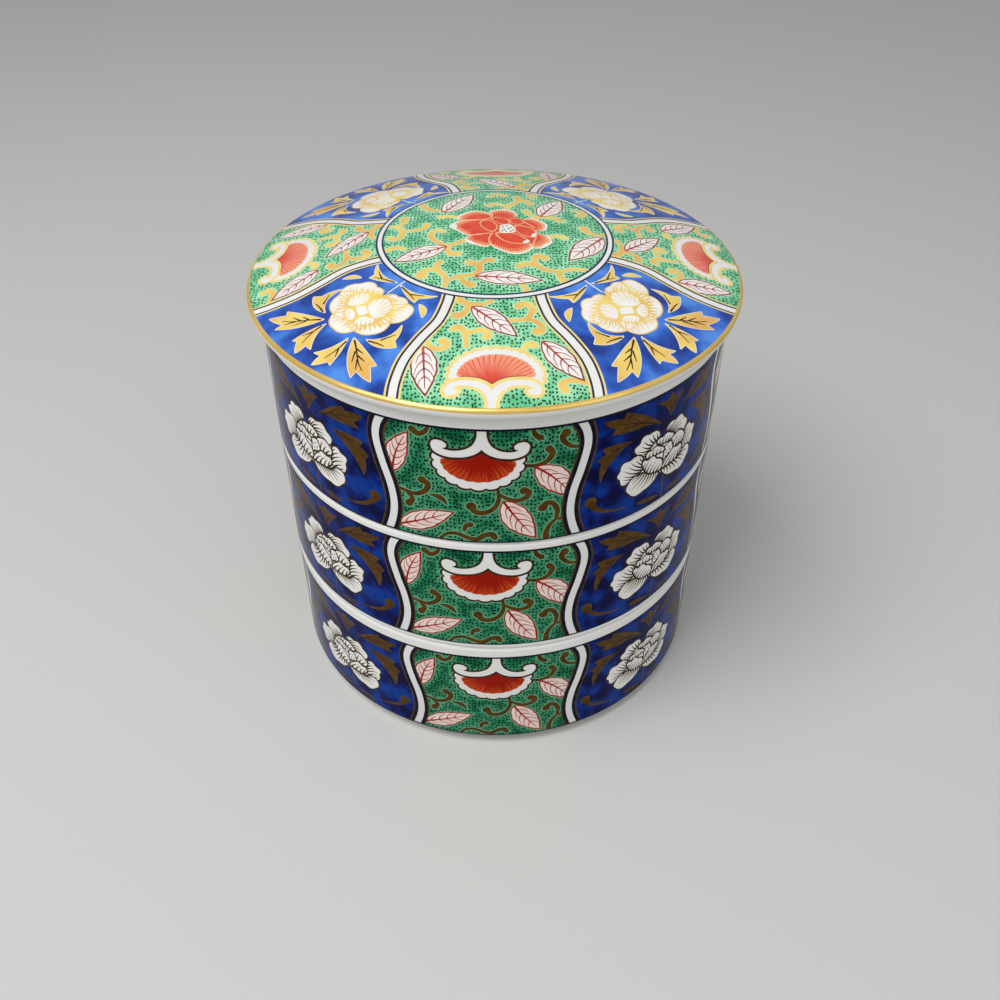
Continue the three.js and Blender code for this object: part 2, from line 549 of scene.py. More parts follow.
TIER_SMALL_LEAVES = (((-8.7, 4), (0.8, 2.6)), ((12, 2.6), (3.1, 3.1)))
TIER_STEM = [(1.5, 12), (1.8, 1)]


def cobalt_tier(art):
    """The cobalt panel: gold leaves and scrolls round a peony."""
    mine = Art()
    for corners, veins in TIER_GOLD_LEAVES:
        gold_leaf(mine, corners, veins)
    for side in (-1, 1):
        scroll(mine, GOLD, ball=1.9, points=[(side * u, v) for u, v in TIER_TAIL], thin=0.3, thick=2.4)
    mine.add(GOLD, *(leaf_outline(base, tip, width=1.9) for base, tip in TIER_SMALL_LEAVES))
    mine.add(GOLD, stroke(TIER_STEM, first=0.6, last=0.6))
    mine.add(CREAM, bowed(TIER_PEONY))
    for corners in TIER_PETALS:
        petal(mine, corners, SEPIA, width=0.6, comb=(0.0, 0.76), spacing=1.5, thick=0.75)
    mine.add(SEPIA, *(disc(spot, radius=0.3, sides=8) for spot in TIER_STAMENS))
    art.extend((colour, outline + (COBALT_MIDDLE, 0.0)) for colour, outline in mine)


def tier_others(edge):
    """The fan flower and the crescent on the tiers' green panel, wider by so much."""
    return TIER_FAN.outlines(edge) + edge_lines(TIER_CRESCENT, edge)


def level(low, high):
    """Outline of a level strip of the tiers' design, longer than a sector."""
    wide = 2 * SECTOR_ARC
    return np.array([(-wide, low), (wide, low), (wide, high), (-wide, high)])


def tier_art():
    """One sector of a tier's design."""
    art = Art()
    art.add(COBALT, level(TIER_LOW - TIER_PAST, TIER_HIGH + TIER_PAST))
    cobalt_tier(art)
    art.add(GREEN, green_panel(TIER_BAND))
    growth(art, TIER_LEAVES, TIER_SCROLLS, thin=1.05, thick=2.1, others=tier_others)
    art.add(GOLD, bowed(TIER_CRESCENT))
    TIER_FAN.paint(art)
    bands(art, TIER_BAND, GOLD, outer_half=2.8, ink_half=2.3, white_half=1.15)
    art.add(INK, level(TIER_HIGH - TIER_TOP_LINE, TIER_HIGH + TIER_PAST))
    art.add(INK, level(TIER_LOW - TIER_PAST, TIER_LOW + TIER_LOW_LINE))
    return art


# The lid's design, seen from above, with the front at -y

# The ring round the medallion and its dark lines, where the gilt rim starts, and the ground past the lid
RING_MIDDLE = 34.5
RING_HALF = 0.6
RING_LINE = 0.6
RIM_START = 74.0
LID_PAST = 5
LID_FAN = Fan(spot=(-0.9, -73.2), degrees=0, reach=9.9, inset=3.0, scallops=17, arm=0.68, curl=0.74,
              sides=(1.0, -1.04), line=STRAW, edge=0.95)
LID_BAND = smooth([(12.4, -32.5), (13.2, -37), (15.4, -43.7), (20, -50.3), (23.9, -57), (25.9, -63.7),
                   (26.5, -69), (26.6, -75)])
LID_LEAVES = (
    ((-6.5, -38.5), (6.1, -50.6), 7, 0),
    ((-19.1, -52.7), (-17.9, -69.7), 7.5, 0),
    ((12.3, -51.6), (23.2, -64.6), 7.4, 0),
)
LID_SCROLLS = (
    (0.5, [(-0.8, -36.4), (-3.4, -37.6), (-6.4, -37.6), (-8.6, -36.8), (-10.4, -34.6)]),
    (1.4, [(-7.2, -37.6), (-7.6, -39.6), (-8.7, -41.5), (-10.4, -42.1)]),
    (1.1, [(4, -44.2), (8.1, -43.7), (9.9, -41), (9.8, -38.6), (8.2, -37.3), (6.3, -38.6)]),
    (1.3, [(8, -43.7), (10.6, -44.2), (12.4, -46), (12.4, -48), (11, -48.3)]),
    (0.7, [(-7.4, -54), (-7.9, -50.5), (-8.1, -48.4), (-9.7, -46.7), (-11.6, -47.4)]),
    (0.9, [(-7.8, -49.2), (-5, -48.1), (-2.5, -48.4), (-1.7, -49.8), (-2.6, -50.8)]),
    (1.2, [(-18.4, -50.8), (-17, -53.3), (-15, -54.3), (-13.1, -53.6), (-12.9, -52), (-14.1, -51.5)]),
    (0.6, [(7.3, -55.4), (7.9, -53.9), (9.3, -52.8), (10.8, -53.7)]),
    (1.3, [(25, -65.4), (21.2, -64.6), (18.6, -64.8), (17.1, -66.2), (17.9, -67.6)]),
)
LID_GOLD_LEAVES = (
    ([(-38, -46.8, 0.2), (-31.1, -58.2, 0), (-32.9, -58.2, 0.1), (-32.4, -63.4, 0.3), (-36.4, -59.1, 0),
      (-37.8, -61, 1.3)],
     ([(-37.8, -47.8), (-37, -51.3), (-36.2, -55.8), (-34.9, -59.3)], [(-36.9, -51.3), (-35, -53.3)],
      [(-37.2, -52), (-37.9, -55.8)], [(-36.6, -53.6), (-34.4, -56.2)], [(-36.4, -55), (-36.7, -58.6)])),
    ([(-39.6, -46.6, 0.5), (-43.8, -55.6, 0), (-44.4, -54.2, 0.2), (-48.9, -54.3, 0.3), (-46.7, -51.6, 0),
      (-48.7, -50, -0.9)],
     ([(-40, -47.8), (-42.4, -50.4), (-45.6, -52.8)], [(-41.9, -50), (-42.6, -53)])),
    ([(-34.6, -48.2, -2.2), (-25.1, -44.3, 0.5), (-26.8, -50, 0), (-26.2, -52.5, 1.5)],
     ([(-34, -48.9), (-31.2, -50.4), (-29.6, -51.6)], [(-30.6, -49.2), (-26.6, -47.8)])),
    ([(-26.4, -27.1, -1.5), (-15.8, -33.6, 0.3), (-21, -34, 0), (-22.2, -35.6, 0.6)],
     ([(-26.1, -28), (-24, -31.2), (-22.3, -34.2)], [(-23.6, -31.8), (-19.6, -33)])),
    ([(-20.8, -36.4, 1.6), (-19.8, -42.1, 0.2)], ()),
)
LID_TWIN_SHIFTS = ((-0.3, 0.6), (0.2, 0.2), (1, 0), (-0.3, 0.7), (-1.7, -0.2))
LID_PEONY = (-35.6, -35.2)
LID_PETAL_ROOT = (-36, -35, 0)
LID_PETALS = (
    [(-43.8, -27.5, 1.9), (-38.1, -23.9, 1.5), (-33.1, -26.8, 0.9), (-31.4, -30.6, 0)],
    [(-44.9, -35.7, 1.8), (-43.8, -27.5, 0)],
    [(-38.1, -44.1, 1.2), (-44, -42.1, 1.2), (-44.9, -35.7, 0)],
    [(-28.4, -43, 1.1), (-33, -46.6, 0.8), (-38.1, -44.1, 0)],
    [(-24, -35.9, 1.4), (-23.4, -41.2, 0.9), (-28.4, -43, 0)],
    [(-30.6, -31.2, 0.9), (-26.8, -32.4, 0.8), (-24, -35.9, 0)],
)
LID_HEART = [(-41.4, -31.6, 0.9), (-38.6, -28.2, 0.8), (-30.8, -31.2, 0.6), (-28.2, -36.4, 0.9),
             (-31, -41.6, 0.9), (-37.4, -42.2, 0.7), (-41, -37, -0.4)]
LID_INNER_PETALS = (
    [(-41, -33.2, 1.2), (-38.8, -28.9, 0.8), (-35, -29.8, 0.9), (-36.6, -33.6, 0.5)],
    [(-40.6, -39.2, 0.7), (-41.4, -34.4, 0.2), (-39.2, -35.2, 0.5), (-38.7, -39.4, 0.3)],
    [(-32.6, -41.4, 0.6), (-35.6, -42.3, 0.7), (-38.8, -41, 0.3), (-37, -39, 0.4), (-34.4, -39.6, 0.4)],
    [(-35.2, -35.2, 0.9), (-32.8, -32.3, 1.2), (-28.7, -34.6, 0.9), (-29.6, -39, 0.9),
     (-33.4, -40.2, 0.4)],
    [(-38.7, -34.4, 0.2), (-35.9, -34.2, 0.2), (-34.8, -37.7, 0.3), (-37.4, -38.4, 0.2)],
)
LID_SLIT = [(-30, -30), (-24.8, -24.8)]

# The rays round the heart of the lid's peony, as shares of the way from its middle to the heart's edge
RAY_START = 0.98
RAY_END = 1.26
RAY_STEP = 0.08


def cobalt_lid(art):
    """The front-left cobalt panel: gold leaves to both sides of its middle line, round a white peony."""
    for (corners, veins), (right, up) in zip(LID_GOLD_LEAVES, LID_TWIN_SHIFTS):
        gold_leaf(art, corners, veins, LEAF_GLINT)
        twin = [(y + right, x + up, -bow) for x, y, bow in corners]
        twin_veins = [[(y + right, x + up) for x, y in vein] for vein in veins]
        gold_leaf(art, twin, twin_veins, LEAF_GLINT)
    art.add(WHITE, stroke(LID_SLIT, first=0.5, last=0.5))
    for corners in LID_PETALS:
        petal(art, corners + [LID_PETAL_ROOT], GOLD, width=0.4, comb=(0.5, 0.86), spacing=1.05, thick=0.55)
    middle = np.array(LID_PEONY)
    heart = bowed(LID_HEART)
    art.add(GOLD, heart)
    for index, edge in enumerate(heart):
        start = middle + (edge - middle) * RAY_START
        end = middle + (edge - middle) * (RAY_END + RAY_STEP * (index % 2))
        art.add(GOLD, stroke([start, end], first=0.75, last=0.12))
    for corners in LID_INNER_PETALS:
        petal(art, corners, GOLD, width=0.34, comb=(1.0, 0.42), spacing=1.15, thick=0.46)


def lid_art():
    """The front sector of the lid's design, outside the ring."""
    art = Art()
    art.add(COBALT, disc(MIDDLE, LID_RADIUS + LID_PAST, sides=48))
    cobalt_lid(art)
    art.add(GREEN, green_panel(LID_BAND))
    growth(art, LID_LEAVES, LID_SCROLLS, thin=1.3, thick=2.4, others=LID_FAN.outlines)
    LID_FAN.paint(art)
    bands(art, LID_BAND, STRAW, outer_half=2.25, ink_half=1.7, white_half=1.1)
    art.add(INK, disc(MIDDLE, RING_MIDDLE + (RING_HALF + RING_LINE), RING_SIDES))
    art.add(WHITE, disc(MIDDLE, RING_MIDDLE + RING_HALF, RING_SIDES))
    return art


# The medallion inside the lid's ring, about the lid's middle

MEDALLION_HEART = (1.5, 1.6)
MEDALLION_PETALS = (
    [(-11.4, 9), (-11.2, 11.6), (-9.2, 13.8), (-6.8, 15), (-4.2, 14.6), (-2.2, 13.4), (-1, 11.4),
     (-1.4, 9.2), (-4, 7.6), (-8, 7.8)],
    [(-1.6, 11.4), (-1.7, 13.8), (0.2, 15.7), (3, 16), (5.6, 14.8), (6.8, 12.4), (6.4, 10.2), (3.6, 8.6),
     (0, 9.4)],
    [(8.8, 6.2), (9.4, 8.8), (11.6, 9.4), (14.1, 7.8), (15.8, 5.4), (15.7, 2.8), (14.4, 0.8), (11.4, 1.4),
     (9.6, 3.8)],
    [(12, -4.2), (13.6, -2.2), (15.6, -1.8), (16.5, -3.8), (17, -6.2), (15.6, -8.2), (13.8, -9.9),
     (11.6, -10.2), (10, -8)],
    [(-1.8, -4.2), (-1.8, -7.2), (-0.2, -10.2), (2.2, -12.2), (4.6, -13.6), (7.4, -13.6), (9.8, -12),
     (11.2, -9.4), (9.4, -6.4), (4, -4.4)],
    [(-7.9, -2.6), (-8.9, -4.4), (-8, -6.8), (-5.6, -8.4), (-3.6, -9.6), (-1.7, -9.4), (-1.5, -5.6),
     (-1, -2.4), (-4.2, -1.8)],
    [(-10.8, 7.6), (-12.7, 6.2), (-13.7, 3.9), (-12.2, 1.8), (-10.6, -0.2), (-8.8, -2), (-6, -2.5),
     (-2, -1.2), (-3.6, 3.6), (-4.6, 7.4), (-7.4, 8.4)],
)
MEDALLION_INNER = (
    [(-4.7, 6), (-3.8, 7.6), (-2, 7.8), (-0.1, 5.9), (0.8, 3.4), (0.6, 1), (-0.8, -0.6), (-2.6, 0.9),
     (-4.2, 3.4)],
    [(-1.4, 8.2), (0.1, 9.8), (2.6, 9.2), (4.2, 7.6), (4.4, 5), (2.4, 4.4), (0.8, 5.8)],
    [(4.2, 8.6), (6.3, 9.2), (8.2, 8.2), (8.9, 5.8), (7.2, 4.6), (5.2, 5.2)],
    [(5.8, 4), (8.2, 4), (11.1, 2.4), (12.5, -0.5), (12, -3), (10.1, -3.6), (7.7, -2), (6.1, 0.4)],
    [(-0.1, -1.8), (1.1, -0.6), (4.4, -0.8), (7.3, -2.3), (9.6, -4.8), (10.1, -6.4), (8.7, -7.6),
     (6.2, -7.8), (3.4, -6.8), (1.4, -4.8)],
)
MEDALLION_BED = [(-8, 5), (-4, 8), (2, 10.5), (8, 8.5), (11.5, 3), (12, -5), (8, -8.5),
                 (2, -7.5), (-3, -3.5)]
MEDALLION_SEAMS = (
    [(-10.6, 7.4), (-7, 8.2), (-3.6, 8), (-1, 9.8), (-0.9, 12.6)],
    [(-0.8, -1.4), (-3.6, -1.6), (-7, -2.4)],
    [(-0.8, -1.4), (-1.7, -4.8), (-1.4, -9)],
    [(7.4, 8.8), (9.2, 6.2), (12.2, 2.6)],
    [(12.4, -2.6), (11.6, -6), (11, -9.2)],
)
MEDALLION_TIPS = (
    [(-13.9, 4), (-12.8, 6.2), (-11.6, 5.2), (-11.4, 3.4), (-12.2, 1.8)],
    [(-9, -4.6), (-8, -6.8), (-5.6, -8.4), (-6.6, -6.4)],
    [(16.8, -5.8), (15.6, -8.2), (13.8, -9.9), (14.6, -7.6)],
    [(12.4, -0.6), (12, -3), (10.9, -3.4), (11.2, -1.4)],
    [(9.8, -5), (10.2, -6.5), (8.7, -7.6), (8.4, -6.4)],
)
MEDALLION_CENTRE = [(1.5, 3.8), (3.4, 4.5), (5.2, 4), (6.1, 0.2), (5, -1), (1.6, -0.9)]
MEDALLION_LEAVES = (
    ((-15.9, 14.6), (-6.7, 30.3), 8.4, 0),
    ((13.9, 10.9), (21.2, 26.3), 8, 0),
    ((-14, -8.6), (-29.6, -14.9), 7.6, 0),
    ((32.5, -0.2), (21.1, -16.1), 8.2, 0),
    ((-5.8, -25), (13.7, -26.7), 7, 0),
)
MEDALLION_SCROLLS = (
    (1, [(-14.6, -8), (-17.4, -5), (-19, -2), (-18.8, 0.8), (-17, 1.7), (-15.6, 0.8)]),
    (1.4, [(-14.4, -8), (-13.6, -11), (-12.6, -13.4), (-11, -13)]),
    (0.5, [(-14, -8.2), (-11, -7), (-9, -5.4)]),
    (1.7, [(-14.2, -29.6), (-13.9, -25.6), (-15.4, -22.4), (-18.2, -20.8), (-20.8, -21.6), (-20.8, -23.4)]),
    (0.8, [(-15.4, -22.2), (-16.8, -19.4), (-15.6, -17)]),
    (1.5, [(-13.8, -27), (-10.2, -24.8), (-6.4, -24.4), (-4.4, -22), (-4.9, -19.2), (-7.2, -18.2)]),
    (0.7, [(-4.6, -19.6), (-2.4, -16.9), (-0.4, -17.2)]),
    (1.5, [(-10, -25), (-8.6, -27.6), (-6.8, -29)]),
    (1.1, [(26.6, -20.4), (22.6, -20.1), (18.6, -21.8), (14.6, -21.6), (11.6, -19.2), (8, -19),
           (6.8, -20.2)]),
    (1.3, [(12, -19.4), (11.2, -16.4), (12.6, -14.3), (14.4, -15.4)]),
    (1.3, [(18.4, -21.8), (18.2, -24.2), (19.4, -26.2)]),
    (0.6, [(7.6, -29), (8.8, -31.6), (8.6, -34)]),
    (1.4, [(-14, 15.6), (-18, 16.8), (-21.4, 18.8), (-22.6, 22)]),
    (1.3, [(-33.6, 7.8), (-30.2, 7), (-28, 3.8), (-27.8, 0.6), (-29.4, -1.4), (-31.4, -0.6)]),
    (1.2, [(-28, 3.4), (-24.4, 3), (-21.2, 4.2), (-20.8, 6.4)]),
    (1.4, [(-29.8, 7), (-27.8, 9.6), (-27.8, 12.6)]),
    (0.9, [(-10.6, 9.4), (-14, 11.4), (-16.8, 11.2)]),
    (1.1, [(-26.6, -8.4), (-29, -6.8), (-31.4, -7.6)]),
    (1.2, [(3.4, 15.6), (5, 20), (7.4, 23.4), (6.8, 27)]),
    (1.2, [(4, 17.8), (1, 20.4), (-1.8, 19.6)]),
    (1.3, [(7, 22.4), (9.6, 23.8), (11.2, 21.4)]),
    (1.2, [(10.4, 8.2), (13.4, 10.4), (17.4, 10.8), (20, 8.8)]),
    (1.2, [(12.6, 9.8), (10.4, 12.6), (9.6, 15)]),
    (1.4, [(24.6, 17.8), (27.6, 17), (26.6, 14.2)]),
    (1.6, [(34, 1.6), (30.4, 1.2), (28, 2.2), (26.9, 4.6)]),
    (1.2, [(16, -3.4), (18.6, -1.8), (20.6, -3)]),
    (1, [(11.4, 27), (12.6, 29.6), (11, 31)]),
    (1, [(-2, 27.4), (0.2, 29.8), (3.2, 28.6)]),
)
MEDALLION_STAMENS = ((2.4, 2.8), (3.6, 3.4), (4.8, 2.6), (2.8, 1.2), (4.2, 1.6), (5.4, 0.8), (3.4, 0),
                     (4.8, -0.2), (2.2, 0))

# The layers of a petal as shares of its size, and the rays on its outer part, as shares of the way there
MEDALLION_LAYERS = ((CREAM, 1.0), (CORAL, 0.955), (RED, 0.9))
MEDALLION_OUTER = 0.72
MEDALLION_RAY = (0.93, 0.78)
MEDALLION_INNER_RED = 0.86


def medallion_peony(art):
    """The red peony in the middle of the medallion."""
    heart = np.array(MEDALLION_HEART)
    for points in MEDALLION_PETALS:
        out = closed(points) - heart
        away = np.linalg.norm(out, axis=1)
        for colour, share in MEDALLION_LAYERS:
            art.add(colour, heart + out * share)
        for ray in out[away > MEDALLION_OUTER * away.max()][::2]:
            art.add(CORAL, stroke([heart + ray * share for share in MEDALLION_RAY], first=0.5, last=0.12))
    art.add(RED, closed(MEDALLION_BED))
    art.add(CORAL, *(stroke(points, first=0.5, last=0.5) for points in MEDALLION_SEAMS))
    for points in MEDALLION_INNER:
        edge = closed(points)
        middle = edge.mean(0)
        art.add(CORAL, edge)
        art.add(RED, middle + (edge - middle) * MEDALLION_INNER_RED)
    art.add(CREAM, *map(closed, MEDALLION_TIPS), closed(MEDALLION_CENTRE))
    art.add(INK, *(disc(spot, radius=0.34, sides=8) for spot in MEDALLION_STAMENS))


def medallion_art():
    """The round picture in the middle of the lid: a red peony with leaves and scrolls round it."""
    art = Art()
    art.add(GREEN, disc(MIDDLE, RING_MIDDLE, RING_SIDES))
    growth(art, MEDALLION_LEAVES, MEDALLION_SCROLLS, thin=1.4, thick=2.3)
    art.add(INK, ring(RING_MIDDLE - (RING_HALF + RING_LINE / 2), RING_LINE / 2))
    art.add(WHITE, ring(RING_MIDDLE, RING_HALF))
    medallion_peony(art)
    return art


# Flattening: overlapping shapes become triangles side by side, each in its topmost shape's colour

# How near points merge, the digits to which they are welded, and the cutter's mode that keeps all triangles
MERGE = 1e-4
WELD_DIGITS = 3
WHOLE_HULL = 0

# How finely the sheets are cut, so that they follow the porcelain
TIER_CUTS = 60
LID_SECTOR_START = -112.5
LID_ARC_STEPS = 60
GRID_STEP = 5


def holds(outline, spots):
    """Which spots lie inside an outline, by its winding about them."""
    x, y = spots[:, :1], spots[:, 1:]
    ax, ay = outline[:, 0], outline[:, 1]
    bx, by = np.roll(ax, -1), np.roll(ay, -1)
    side = (bx - ax) * (y - ay) - (x - ax) * (by - ay)
    up = (ay <= y) & (by > y) & (side > 0)
    down = (ay > y) & (by <= y) & (side < 0)
    return up.sum(1) != down.sum(1)


def flatten(art, domain, grid):
    """Points of the art inside a domain, cut along grid lines, and each colour's triangles."""
    low, high = domain.min(0), domain.max(0)
    near = [(c, o) for c, o in art if (o.max(0) > low).all() and (o.min(0) < high).all()]
    points, edges = [], []
    for outline in [domain] + [o for c, o in near]:
        first = len(points)
        count = len(outline)
        points.extend(outline.tolist())
        edges.extend((first + i, first + (i + 1) % count) for i in range(count))
    for line in grid:
        edges.append((len(points), len(points) + 1))
        points.extend(line)
    vertices, _, faces, *_ = delaunay_2d_cdt([Vector(p) for p in points], edges, [], WHOLE_HULL, MERGE)
    vertices = np.array(vertices)[:, :2]
    faces = np.array(faces)
    middles = vertices[faces].mean(1)
    top = np.full(len(faces), -1)
    for index, (_, outline) in enumerate(near):
        around = ((middles > outline.min(0)) & (middles < outline.max(0))).all(1).nonzero()[0]
        top[around[holds(outline, middles[around])]] = index
    inside = holds(domain, middles)
    colours = {}
    for index, (colour, _) in enumerate(near):
        found = faces[inside & (top == index)]
        if colour is not WHITE and len(found):
            colours.setdefault(colour, []).append(found)
    return vertices, {colour: np.vstack(found) for colour, found in colours.items()}


def tier_sheet():
    """One sector of the tiers' enamel, cut along upright lines so that it follows the round wall."""
    copies = [(c, o + (k * SECTOR_ARC, 0)) for c, o in tier_art() for k in (-1, 0, 1)]
    start, end = SECTOR_START, SECTOR_START + SECTOR_ARC
    domain = np.array([(start, TIER_LOW), (end, TIER_LOW), (end, TIER_HIGH), (start, TIER_HIGH)])
    lines = np.linspace(start, end, TIER_CUTS + 1)[1:-1]
    return flatten(copies, domain, [[(u, TIER_LOW - TIER_PAST), (u, TIER_HIGH + TIER_PAST)] for u in lines])


def lid_sheet():
    """One sector of the lid's enamel outside the ring, cut along a grid so that it follows the dome."""
    copies = [(c, turned_by(o, SECTOR_TURN * k)) for c, o in lid_art() for k in (-1, 0, 1)]
    degrees = np.linspace(LID_SECTOR_START, LID_SECTOR_START + SECTOR_TURN, LID_ARC_STEPS + 1)
    ray = rays(np.radians(degrees))
    domain = np.vstack([ray * RING_MIDDLE, ray[::-1] * RIM_START])
    return flatten(copies, domain, square_grid(reach=80))


def medallion_sheet():
    """The lid's enamel inside the ring."""
    domain = disc(MIDDLE, RING_MIDDLE, RING_SIDES)
    return flatten(medallion_art(), domain, square_grid(reach=40))


def square_grid(reach):
    """Lines of a square grid about the middle."""
    places = range(-reach, reach + 1, GRID_STEP)
    upright = [[(x, -reach), (x, reach)] for x in places]
    return upright + [[(-reach, y), (reach, y)] for y in places]


# Placing the flat design on the porcelain

# Each tier's pattern is turned by so many degrees and lifted by so much
TIER_PATTERNS = {"bottom_tier": (-0.4, 0.2), "middle_tier": (-2.2, 1.4), "top_tier": (-3.3, 0.0)}

# The lid's bake map: its size, the shifts of the sector and the medallion, and the sector's start
LID_MAP_SIZE = 135.0
SECTOR_MAP_SHIFT = (30, 75)
MEDALLION_MAP_SHIFT = 35
SECTOR_MAP_START = (0.0, 0.54)


def tier_seat(tier):
    """The height of a tier's seat, where its wall starts."""
    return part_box(tier)[0].z / MM + FOOT_DROP


def wall_placer(tier):
    """The function that puts points of the tiers' design on a tier's wall, so far above the glaze, and
    gives the wall's direction outward there."""
    degrees, raised = TIER_PATTERNS[tier]
    turn = math.radians(degrees)
    seat = tier_seat(tier) + raised

    def on_wall(points, lift):
        angle = points[:, 0] / TIER_RADIUS + turn
        out = np.column_stack([np.sin(angle), -np.cos(angle), np.zeros(len(angle))])
        return out * (TIER_RADIUS + lift) + np.outer(points[:, 1] + seat, (0, 0, 1)), out

    return on_wall


def on_dome(points, lift):
    """Points of the lid's design on its dome, and the dome's direction outward there."""
    height = np.sqrt(DOME_RADIUS ** 2 - (points ** 2).sum(1))
    out = np.column_stack([points, height]) / DOME_RADIUS
    return out * (DOME_RADIUS + lift) + (0, 0, DOME_CENTRE), out


def slab_faces(triangles, weld, count):
    """Faces of closed slabs: the top, the bottom and walls along edges that no other triangle shares."""
    sides = np.vstack([triangles[:, [0, 1]], triangles[:, [1, 2]], triangles[:, [2, 0]]])
    marks = weld[sides]
    forward = marks[:, 0] * (weld.max() + 1) + marks[:, 1]
    backward = marks[:, 1] * (weld.max() + 1) + marks[:, 0]
    rim = sides[~np.isin(forward, backward)]
    walls = np.column_stack([rim[:, 1], rim[:, 0], rim[:, 0] + count, rim[:, 1] + count])
    return triangles, triangles[:, ::-1] + count, walls


def add_piece(name, mesh, body, material):
    """A piece of the visual model that rides on a body, with the given material."""
    mesh.materials.append(material)
    piece = bpy.data.objects.new(name, mesh)
    bpy.context.scene.collection.objects.link(piece)
    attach(piece, body)
    return piece


def enamel(body, colour, points, design, bake, triangles, place, material):
    """One colour's enamel on one body. The design map is in millimetres, and the bake map fills the square.
    Points that fall together are welded, so that the slabs close, and keep their places on the maps."""
    used, triangles = np.unique(triangles, return_inverse=True)
    triangles = triangles.reshape(-1, 3)
    points, design, bake = points[used], design[used], bake[used]
    top, out = place(points, ENAMEL_RISE)
    bottom, _ = place(points, -ENAMEL_DEPTH)
    _, first, weld = np.unique(np.round(top, WELD_DIGITS), axis=0, return_index=True, return_inverse=True)
    weld = weld.ravel()
    marks = weld[triangles]
    triangles = triangles[(marks != np.roll(marks, 1, axis=1)).all(1)]
    parts = slab_faces(triangles, weld, len(used))
    vertex = np.append(weld, weld + len(first))
    faces = [face for part in parts for face in vertex[part].tolist()]
    corner = np.concatenate([part.ravel() for part in parts]) % len(used)
    mesh = bpy.data.meshes.new(f"{body}_{colour}")
    mesh.from_pydata((np.vstack([top[first], bottom[first]]) * MM).tolist(), [], faces)
    mesh.shade_smooth()
    for label, values in (("design", design), ("OFBake", bake)):
        layer = mesh.uv_layers.new(name=label)
        layer.uv.foreach_set("vector", values[corner].ravel())
    mesh.normals_split_custom_set_from_vertices(np.vstack([out[first], out[first]]).tolist())
    add_piece(mesh.name, mesh, body, material)


def enamel_tiers(sheet, materials):
    """The enamel of all three tiers: the same four sectors, turned and lifted a little on each tier."""
    flat, colours = sheet
    span = np.array([SECTOR_ARC, TIER_HIGH - TIER_LOW])
    points = np.vstack([flat + (k * SECTOR_ARC, 0) for k in range(SECTORS)])
    design = np.tile(flat, (SECTORS, 1))
    bake = np.tile(np.clip((flat - (SECTOR_START, TIER_LOW)) / span, 0, 1), (SECTORS, 1))
    for tier in TIERS:
        place = wall_placer(tier)
        for colour, triangles in colours.items():
            found = np.vstack([triangles + k * len(flat) for k in range(SECTORS)])
            enamel(tier, colour, points, design, bake, found, place, materials[colour, "tier"])


def enamel_lid(outer, inner, materials):
    """The lid's enamel: four sectors and the medallion, side by side in the bake map."""
    flat, colours = outer
    middle, middle_colours = inner
    points = np.vstack([turned_by(flat, SECTOR_TURN * k) for k in range(SECTORS)] + [middle])
    design = np.vstack([flat] * SECTORS + [middle])
    flat_map = (flat + SECTOR_MAP_SHIFT) / LID_MAP_SIZE + SECTOR_MAP_START
    middle_map = (middle + MEDALLION_MAP_SHIFT) / LID_MAP_SIZE
    bake = np.clip(np.vstack([flat_map] * SECTORS + [middle_map]), 0, 1)
    for colour in sorted(set(colours) | set(middle_colours)):
        found = [colours[colour] + k * len(flat) for k in range(SECTORS) if colour in colours]
        if colour in middle_colours:
            found.append(middle_colours[colour] + SECTORS * len(flat))
        enamel("lid", colour, points, design, bake, np.vstack(found), on_dome, materials[colour, "lid"])


# Porcelain

# The gilt rim starts so far under the enamel's end, stops at an angle on the shoulder and rises higher
RIM_OVERLAP = 0.05
RIM_LOW_DEGREES = 12
RIM_RISE = 1.2 * ENAMEL_RISE


def arc(r, z, radius, start, end, steps=ROUND_STEPS):
    """Points along an arc about (r, z), between angles in degrees from the outward direction."""
    angle = np.radians(np.linspace(start, end, steps + 1))
    return [(r + radius * math.cos(a), z + radius * math.sin(a)) for a in angle]


def nesting_ring(inner, drop):
    """The ring that hangs below a seat at height 0."""
    return [(inner, CHAMFER - drop), (inner + CHAMFER, -drop), (NEST_RADIUS - CHAMFER, -drop),
            (NEST_RADIUS, CHAMFER - drop), (NEST_RADIUS, 0.0)]


def tier_profile():
    """A tier's profile from the axis under its floor, round the wall and back to the axis inside."""
    recess = FOOT_RECESS - FOOT_DROP
    floor = recess + FLOOR
    return [
        (0.0, recess),
        (NEST_RADIUS - FOOT_WIDTH, recess),
        *nesting_ring(NEST_RADIUS - FOOT_WIDTH, FOOT_DROP),
        *arc(TIER_RADIUS - SEAT_ROUND, SEAT_ROUND, SEAT_ROUND, -90, 0),
        *arc(TIER_RADIUS - RIM_ROUND, WALL_TOP - RIM_ROUND, RIM_ROUND, 0, 90),
        *arc(MOUTH_RADIUS + RIM_ROUND, WALL_TOP - RIM_ROUND, RIM_ROUND, 90, 180),
        *arc(MOUTH_RADIUS - INSIDE_FILLET, floor + INSIDE_FILLET, INSIDE_FILLET, 0, -90),
        (0.0, floor),
    ]


